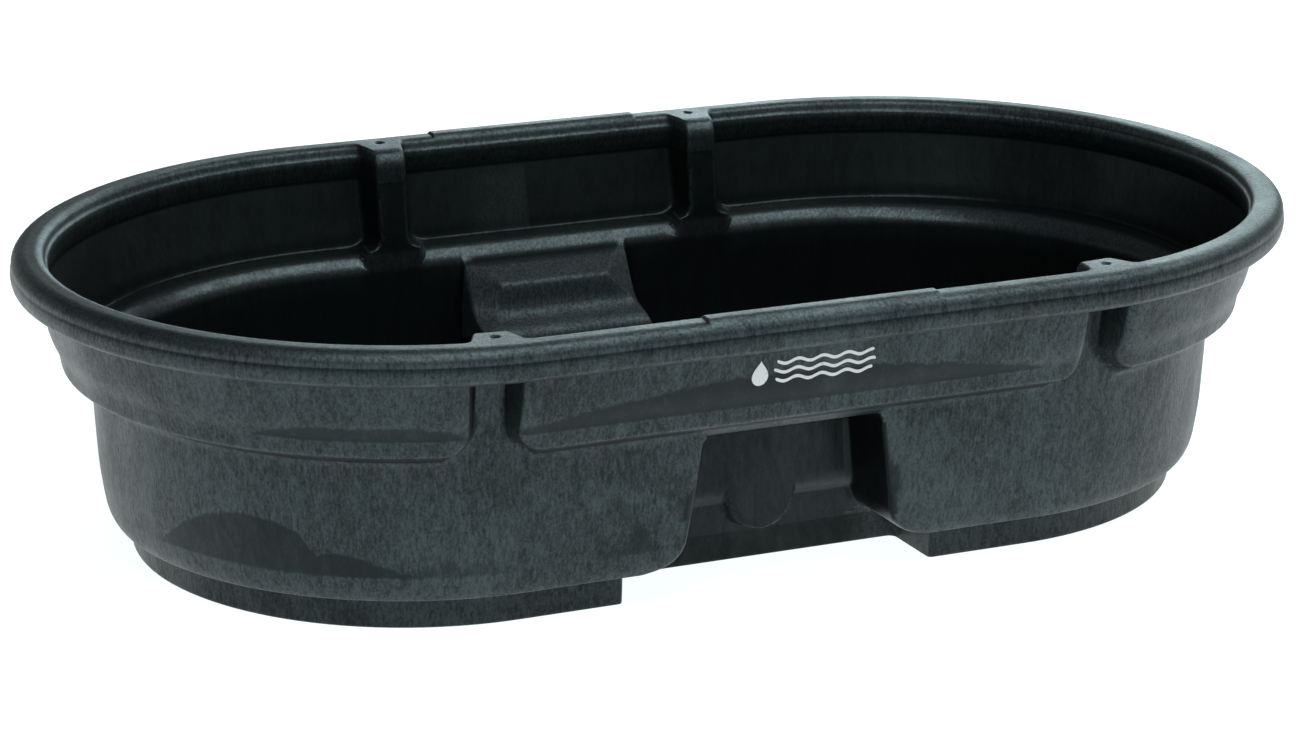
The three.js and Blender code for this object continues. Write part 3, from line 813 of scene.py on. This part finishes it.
def wave_rings(i):
    first, last = WAVE_ENDS[i]
    x = np.linspace(first, last, 97)
    middle = WAVE_FOOT + WAVE_GAP * i + WAVE_HEIGHT * np.sin(x / WAVE_LENGTH * 2 * math.pi)
    ends = np.minimum(x - first, last - x)
    half = WAVE_WIDTH / 2 * np.sqrt(1 - np.clip(1 - ends / (WAVE_WIDTH / 2), 0, 0.999) ** 2)
    return sign_rings(np.stack([x, middle + half], 1), np.stack([x, middle - half], 1))


def water_sign():
    """A drop beside three waves, as a thin painted layer."""
    shapes = [drop_rings()] + [wave_rings(i) for i in range(len(WAVE_ENDS))]
    parts = [ring_mesh("part", rings) for rings in shapes]
    joined = bmesh.new()
    for part in parts:
        joined.from_mesh(part.data)
        bpy.data.objects.remove(part)
    mesh = bpy.data.meshes.new("water_sign")
    joined.to_mesh(mesh)
    joined.free()
    return new_object("water_sign", mesh)


# ---------------------------------------------------------------- materials
class Look:
    """A material's node graph. Its methods add a node and give back its output."""

    def __init__(self, name):
        self.material = bpy.data.materials.new(name)
        self.material.use_nodes = True
        self.tree = self.material.node_tree
        self.shader = self.tree.nodes["Principled BSDF"]
        self.place = self.node("TexCoord").outputs["Object"]

    def node(self, kind, *inputs, **settings):
        made = self.tree.nodes.new("ShaderNode" + kind)
        for name, value in settings.items():
            setattr(made, name, value)
        for socket, value in zip(made.inputs, inputs):
            self.put(socket, value)
        return made

    def value(self, name):
        """A value of the shell's points, from shell_values."""
        return self.node("Attribute", attribute_name=name).outputs["Fac"]

    def put(self, socket, value):
        if isinstance(value, bpy.types.NodeSocket):
            self.tree.links.new(value, socket)
        elif value is not None:
            socket.default_value = value

    def math(self, operation, a, b=0.0, c=0.0, clamp=False):
        return self.node("Math", a, b, c, operation=operation, use_clamp=clamp).outputs[0]

    def ramp(self, value, low, high, to_low=0.0, to_high=1.0):
        made = self.node("MapRange", value, low, high, to_low, to_high, interpolation_type="SMOOTHSTEP")
        return made.outputs[0]

    def noise(self, stretch, detail=3.0, rough=0.55, distortion=0.0, place=None, shift=(0, 0, 0)):
        mapping = self.node("Mapping", place or self.place, shift, None, stretch)
        made = self.node("TexNoise")
        self.put(made.inputs["Vector"], mapping.outputs[0])
        settings = {"Scale": 1.0, "Detail": detail, "Roughness": rough, "Distortion": distortion}
        for name, value in settings.items():
            self.put(made.inputs[name], value)
        return made.outputs["Fac"]

    def warped(self, scale, amount):
        """The place pushed about by a coarse noise, for swirled grain."""
        made = self.node("TexNoise")
        self.put(made.inputs["Vector"], self.place)
        self.put(made.inputs["Scale"], scale)
        self.put(made.inputs["Detail"], 1.0)
        push = self.node("VectorMath", made.outputs["Color"], (0.5, 0.5, 0.5), operation="SUBTRACT")
        push = self.node("VectorMath", push.outputs[0], operation="SCALE")
        push.inputs["Scale"].default_value = amount
        return self.node("VectorMath", self.place, push.outputs[0], operation="ADD").outputs[0]

    def blend(self, share, dark, light):
        made = self.tree.nodes.new("ShaderNodeMix")
        made.data_type = "RGBA"
        self.put(made.inputs[0], share)
        self.put(made.inputs[6], dark if isinstance(dark, bpy.types.NodeSocket) else (*dark, 1))
        self.put(made.inputs[7], light if isinstance(light, bpy.types.NodeSocket) else (*light, 1))
        return made.outputs[2]

    def finish(self, color, roughness, height, distance, specular):
        self.put(self.shader.inputs["Base Color"], color)
        self.put(self.shader.inputs["Roughness"], roughness)
        self.put(self.shader.inputs["Specular IOR Level"], specular)
        bump = self.node("Bump")
        self.put(bump.inputs["Height"], height)
        bump.inputs["Distance"].default_value = distance
        self.put(self.shader.inputs["Normal"], bump.outputs[0])
        return self.material


FOAM_DARK = (0.0022, 0.0028, 0.0030)
FOAM_LIGHT = (0.0090, 0.0120, 0.0128)
# colour of the painted highlight on convex edges
FOAM_EDGE_HIGHLIGHT = (0.0220, 0.0310, 0.0330)
# colour of the scuffs, which on the ledge's edge also paint its highlight
FOAM_SCUFF_AND_HIGHLIGHT = (0.0260, 0.0305, 0.0335)
# colour of the painted shade
FOAM_SHADED = (0.0010, 0.0014, 0.0015)
FOAM_TINT = (0.75, 0.95, 1.0, 1)  # of its reflections


def crease_shade_patches(look, height, streak):
    """Painted shade with hidden grain: random patches over both creases, and the near side's areas."""
    reach = look.noise((6, 6, 2), 3, 0.6, 0.3, None, (2, 6, 3))
    tops = look.math("MULTIPLY_ADD", look.math("SUBTRACT", reach, 0.56), 0.24, 0.004)
    patches = []
    for crease in CREASES:
        above = look.math("SUBTRACT", height, crease)
        covered = look.ramp(look.math("SUBTRACT", tops, above), -0.008, 0.010)
        patches.append(look.math("MULTIPLY", covered, look.ramp(above, -0.003, 0.001)))
    patch = look.math("MULTIPLY", look.math("MAXIMUM", *patches), 0.6)
    area = look.math("MULTIPLY_ADD", look.math("SUBTRACT", streak, 0.5), 0.22, look.value("crease_shade"))
    over_high = look.ramp(height, 0.204, 0.207)
    under_high = look.ramp(height, 0.18, 0.19, 1.0, 0.0)
    over_crease = look.math("MAXIMUM", over_high, under_high)
    over_crease = look.math("MULTIPLY", over_crease, look.ramp(height, 0.058, 0.062))
    area = look.math("MULTIPLY", look.ramp(area, 0.47, 0.54), over_crease)
    return look.math("MAXIMUM", patch, area)


def pencil_lines(look, swirl, cloud):
    """Thin lines where a coarse noise passes its middle, in the lighter clouds only."""
    lines = look.noise((26, 26, 9), 1, 0.4, 1.6, swirl, (9, 4, 2))
    pencil = look.ramp(look.math("ABSOLUTE", look.math("SUBTRACT", lines, 0.5)), 0.0, 0.006, 1.0, 0.0)
    return look.math("MULTIPLY", pencil, look.ramp(cloud, 0.5, 0.62))


def foam_look():
    """Charcoal structural foam: swirled clouds, upright hair grain, flecks and pencil lines, with painted
    highlights on its convex edges, painted shade in its hollows, recesses, inside and over its creases, and
    pale scuffs that also paint the ledge's highlight.
    """
    look = Look("foam_skin")
    outside, painted_shade, scuff = look.value("outside"), look.value("painted_shade"), look.value("scuff")
    height = look.node("SeparateXYZ", look.place).outputs["Z"]
    swirl = look.warped(5.0, 0.07)
    cloud = look.noise((8, 8, 6), 4, 0.6, 0.6, swirl)
    streak = look.noise((70, 70, 22), 3, 0.6, 0.8, swirl, (3, 1, 7))
    hair = look.noise((330, 330, 95), 2, 0.6, 0.0, look.warped(9.0, 0.02), (5, 2, 1))
    fleck = look.noise((480, 480, 330), 2, 0.7, 0.0, None, (1, 8, 4))
    grain = look.math("MULTIPLY_ADD", look.math("SUBTRACT", fleck, 0.5), 1.1, hair)
    fine = look.math("MULTIPLY", look.math("SUBTRACT", grain, 0.5), 1.15)
    # painted shade over the creases, with the grain hidden there
    patch = look.math("MULTIPLY", crease_shade_patches(look, height, streak), outside)
    # keep: fainter grain on the inside skin, in the recesses and in the painted shade over the creases, as in
    # shade
    keep = look.ramp(look.math("SUBTRACT", outside, patch), 0, 1, 0.3, 1.0)

    # share: how light the foam is here
    share = look.math("MULTIPLY_ADD", look.math("SUBTRACT", cloud, 0.5), 0.9, 0.5)
    share = look.math("ADD", share, look.math("MULTIPLY", look.math("SUBTRACT", streak, 0.5), 0.7))
    share = look.math("ADD", share, look.math("MULTIPLY", fine, keep))
    # darker in the painted shade over the creases
    share = look.math("SUBTRACT", share, look.math("MULTIPLY", patch, 0.42))
    pencil = look.math("MULTIPLY", pencil_lines(look, swirl, cloud), 0.3)
    share = look.math("SUBTRACT", share, pencil, clamp=True)

    # painted shade: the inside skin and the recesses are darker
    lightness = look.math("MULTIPLY", share, look.ramp(outside, 0, 1, 0.3, 1.0))
    color = look.blend(lightness, FOAM_DARK, FOAM_LIGHT)
    # painted highlight: paler colour on the convex edges
    highlighted = look.math("MULTIPLY", look.value("edge_highlight"), look.ramp(grain, 0.36, 0.66, 0.05, 0.5))
    color = look.blend(highlighted, color, FOAM_EDGE_HIGHLIGHT)
    # painted shade: darker in hollows, on the recesses' cheeks, under the shelf, on the foot and in the
    # recesses
    color = look.blend(look.math("MULTIPLY", painted_shade, 0.85), color, FOAM_SHADED)
    # pale scuffed grain; on the ledge's edge it is also a painted highlight
    scuff_and_highlight = look.math("MULTIPLY", scuff, look.ramp(grain, 0.30, 0.70, 0.5, 1.0))
    color = look.blend(scuff_and_highlight, color, FOAM_SCUFF_AND_HIGHLIGHT)

    on_rim = look.ramp(height, 0.284, 0.294)
    gloss = look.ramp(share, 0, 1, 0.28, 0.78)
    gloss = look.math("MULTIPLY", gloss, look.ramp(painted_shade, 0, 1, 1.0, 0.3))
    gloss = look.math("MULTIPLY", gloss, look.ramp(look.math("MAXIMUM", outside, scuff), 0, 1, 0.5, 1.0))
    gloss = look.math("MULTIPLY", gloss, look.ramp(on_rim, 0, 1, 1.0, 1.35), clamp=True)
    rubbed = look.math("MULTIPLY", scuff, look.ramp(grain, 0.36, 0.64, 0.38, 0.0))
    gloss = look.math("MULTIPLY", gloss, look.math("SUBTRACT", 1.0, rubbed))

    roughness = look.math("ADD", cloud, look.math("MULTIPLY", fine, 0.3))
    roughness = look.ramp(roughness, 0.25, 0.8, 0.47, 0.34)
    roughness = look.math("MULTIPLY", roughness, look.ramp(outside, 0, 1, 0.8, 1.0))
    roughness = look.math("MULTIPLY_ADD", on_rim, 0.10, roughness)
    roughness = look.math("ADD", roughness, look.ramp(scuff, 0.6, 1.0, 0.0, 0.22))
    relief = look.math("ADD", look.math("MULTIPLY", grain, keep), look.math("MULTIPLY", streak, 1.2))
    look.shader.inputs["Specular Tint"].default_value = FOAM_TINT
    return look.finish(color, roughness, relief, 0.00025, gloss)


def plastic_look(name, dark, light, rough_low, rough_high, scuff):
    """Moulded black plastic: fine etched texture, faint clouds and pale scuffs."""
    look = Look(name)
    cloud = look.noise((60, 60, 60), 3, 0.6, 0.4)
    texture = look.noise((1500, 1500, 1500), 2, 0.6)
    scratch = look.noise((900, 60, 500), 2, 0.5, 0.8, look.warped(30.0, 0.01))
    mark = look.math("MULTIPLY", look.ramp(scratch, 0.62, 0.72), scuff)
    fine = look.math("MULTIPLY", look.math("SUBTRACT", texture, 0.5), 0.5)
    share = look.math("ADD", cloud, fine, clamp=True)
    color = look.blend(share, dark, light)
    color = look.blend(mark, color, (0.12, 0.125, 0.13))
    roughness = look.ramp(cloud, 0.3, 0.7, rough_low, rough_high)
    relief = look.math("ADD", texture, look.math("MULTIPLY", mark, 0.6))
    return look.finish(color, roughness, relief, 0.00012, 0.45)


def rubber_look():
    """Matt black rubber with a chalky bloom."""
    look = Look("black_rubber")
    bloom = look.noise((90, 90, 90), 4, 0.65, 0.5)
    grit = look.noise((1100, 1100, 1100), 2, 0.7)
    color = look.blend(look.ramp(bloom, 0.35, 0.75), (0.012, 0.012, 0.012), (0.035, 0.034, 0.033))
    roughness = look.ramp(grit, 0.3, 0.7, 0.72, 0.9)
    return look.finish(color, roughness, grit, 0.0001, 0.3)


def paint_look():
    """White paint with thin places where the grain under it shows."""
    look = Look("sign_paint")
    cloud = look.noise((40, 40, 40), 4, 0.6, 0.3)
    grain = look.noise((420, 420, 160), 2, 0.6, 0.0, None, (5, 2, 1))
    thin = look.math("MULTIPLY", look.ramp(grain, 0.58, 0.74), look.ramp(cloud, 0.4, 0.65, 0.1, 0.5))
    color = look.blend(cloud, (0.66, 0.69, 0.70), (0.84, 0.86, 0.86))
    color = look.blend(thin, color, (0.25, 0.28, 0.29))
    roughness = look.ramp(cloud, 0.3, 0.7, 0.42, 0.6)
    return look.finish(color, roughness, grain, 0.00015, 0.4)


# ---------------------------------------------------------------- camera, light and floor
# The camera was fitted to the photo's outline.
CAMERA_PLACE = Vector((-1.40166, -3.30536, 1.27730))
CAMERA_TARGET = Vector((0, 0, 0.150))
CAMERA_ROLL = math.radians(0.17)
CAMERA_LENS = 101.9
CAMERA_SHIFT = (-0.0107, -0.0147)

WHITE = (0.94, 1.0, 1.0)
FLOOR_GLOW = 1.0
SKY_LOW, SKY_HIGH = 0.4, 0.03  # brightness at the horizon and overhead
SKY_FALL = (0.08, 0.5)  # sines of the elevations between which it falls off
FRONT_SHARE = 0.7  # of the sky's brightness in front of the tank
FRONT_FADE = (-0.7, 0.3)
FLOOR_SIZE = 30
SOFTBOX_TOP = {"place": (0.5, -0.95, 2.3), "target": (0.2, -0.2, 0.2), "size": (5.2, 0.9), "power": 82}
SOFTBOX_BACK = {"place": (1.7, 2.4, 1.4), "target": (0.3, 0, 0.3), "size": (2.6, 1.1), "power": 52}
BACK_COLOR = (0.8, 0.97, 1.0)


def make_camera():
    data = bpy.data.cameras.new("camera")
    data.lens = CAMERA_LENS
    data.sensor_width = 36
    data.shift_x, data.shift_y = CAMERA_SHIFT
    camera = bpy.data.objects.new("camera", data)
    bpy.context.scene.collection.objects.link(camera)
    aim = (CAMERA_TARGET - CAMERA_PLACE).to_track_quat("-Z", "Y").to_matrix().to_4x4()
    camera.matrix_world = Matrix.Translation(CAMERA_PLACE) @ aim @ Matrix.Rotation(CAMERA_ROLL, 4, "Z")
    bpy.context.scene.camera = camera


def area_light(name, color, place, target, size, power):
    data = bpy.data.lights.new(name, "AREA")
    data.shape = "RECTANGLE"
    data.size, data.size_y = size
    data.energy = power
    data.color = color
    light = bpy.data.objects.new(name, data)
    light.location = place
    light.rotation_euler = (Vector(target) - Vector(place)).to_track_quat("-Z", "Y").to_euler()
    bpy.context.scene.collection.objects.link(light)


def make_world():
    """A studio sweep: bright low down and dim overhead."""
    world = bpy.data.worlds.new("studio")
    world.use_nodes = True
    bpy.context.scene.world = world
    nodes, links = world.node_tree.nodes, world.node_tree.links

    def fade(source, low, high, to_low, to_high):
        made = nodes.new("ShaderNodeMapRange")
        made.interpolation_type = "SMOOTHSTEP"
        for name, value in (("From Min", low), ("From Max", high), ("To Min", to_low), ("To Max", to_high)):
            made.inputs[name].default_value = value
        links.new(source, made.inputs["Value"])
        return made.outputs[0]

    def combine(operation, a, b):
        made = nodes.new("ShaderNodeMath")
        made.operation = operation
        links.new(a, made.inputs[0])
        links.new(b, made.inputs[1])
        return made.outputs[0]

    split = nodes.new("ShaderNodeSeparateXYZ")
    links.new(nodes.new("ShaderNodeTexCoord").outputs["Generated"], split.inputs[0])
    up, depth = split.outputs["Z"], split.outputs["Y"]
    sky = fade(up, *SKY_FALL, SKY_LOW, SKY_HIGH)
    sweep = combine("MULTIPLY", sky, fade(depth, *FRONT_FADE, FRONT_SHARE, 1.0))
    background = nodes["Background"]
    background.inputs["Color"].default_value = (*WHITE, 1)
    links.new(sweep, background.inputs["Strength"])


def make_floor():
    bpy.ops.mesh.primitive_plane_add(size=FLOOR_SIZE)
    floor = bpy.context.object
    floor.name = "floor"
    material = bpy.data.materials.new("floor_white")
    material.use_nodes = True
    shader = material.node_tree.nodes["Principled BSDF"]
    shader.inputs["Base Color"].default_value = (0.3, 0.3, 0.3, 1)
    shader.inputs["Roughness"].default_value = 0.9
    shader.inputs["Specular IOR Level"].default_value = 0.1
    shader.inputs["Emission Color"].default_value = (*WHITE, 1)
    shader.inputs["Emission Strength"].default_value = FLOOR_GLOW
    floor.data.materials.append(material)


# ---------------------------------------------------------------- scene
bpy.context.scene.view_settings.view_transform = "Standard"
make_camera()
make_world()
make_floor()
area_light("softbox_top", WHITE, **SOFTBOX_TOP)
area_light("softbox_back", BACK_COLOR, **SOFTBOX_BACK)


def place(piece, body, replaced, slot, material):
    """Gives a piece its body, the CAD node that it stands in for and its material. The slot is not used."""
    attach(piece, body)
    if replaced:
        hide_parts(replaced)
    piece.data.materials.clear()
    piece.data.materials.append(material)


def soften(piece):
    """Smooth shading that keeps the corners sharper than 30 degrees."""
    with bpy.context.temp_override(object=piece, active_object=piece, selected_editable_objects=[piece]):
        bpy.ops.object.shade_smooth_by_angle(angle=math.radians(30))


foam = foam_look()
fitting = plastic_look("fitting_black", (0.010, 0.011, 0.012), (0.030, 0.031, 0.033), 0.36, 0.52, 0.25)
plug = plastic_look("plug_black", (0.016, 0.017, 0.018), (0.042, 0.043, 0.045), 0.40, 0.58, 0.8)
rubber = rubber_look()
place(tank_shell(), "tank", "tank_shell", "shell_foam", foam)
place(water_sign(), "tank", None, "shell_foam", paint_look())
drain_pieces = (
    (fitting_body(), "tank", "drain_fitting", "fitting_plastic", fitting),
    (fitting_nut(), "tank", "lock_nut", "fitting_plastic", fitting),
    (washer("fitting_washer", **FITTING_WASHER), "tank", "fitting_gasket", "seal_rubber", rubber),
    (plug_body(), "plug", "drain_plug", "plug_plastic", plug),
    (washer("plug_washer", **PLUG_WASHER), "seal", "plug_gasket", "seal_rubber", rubber),
)
for made in drain_pieces:
    soften(made[0])
    place(*made)
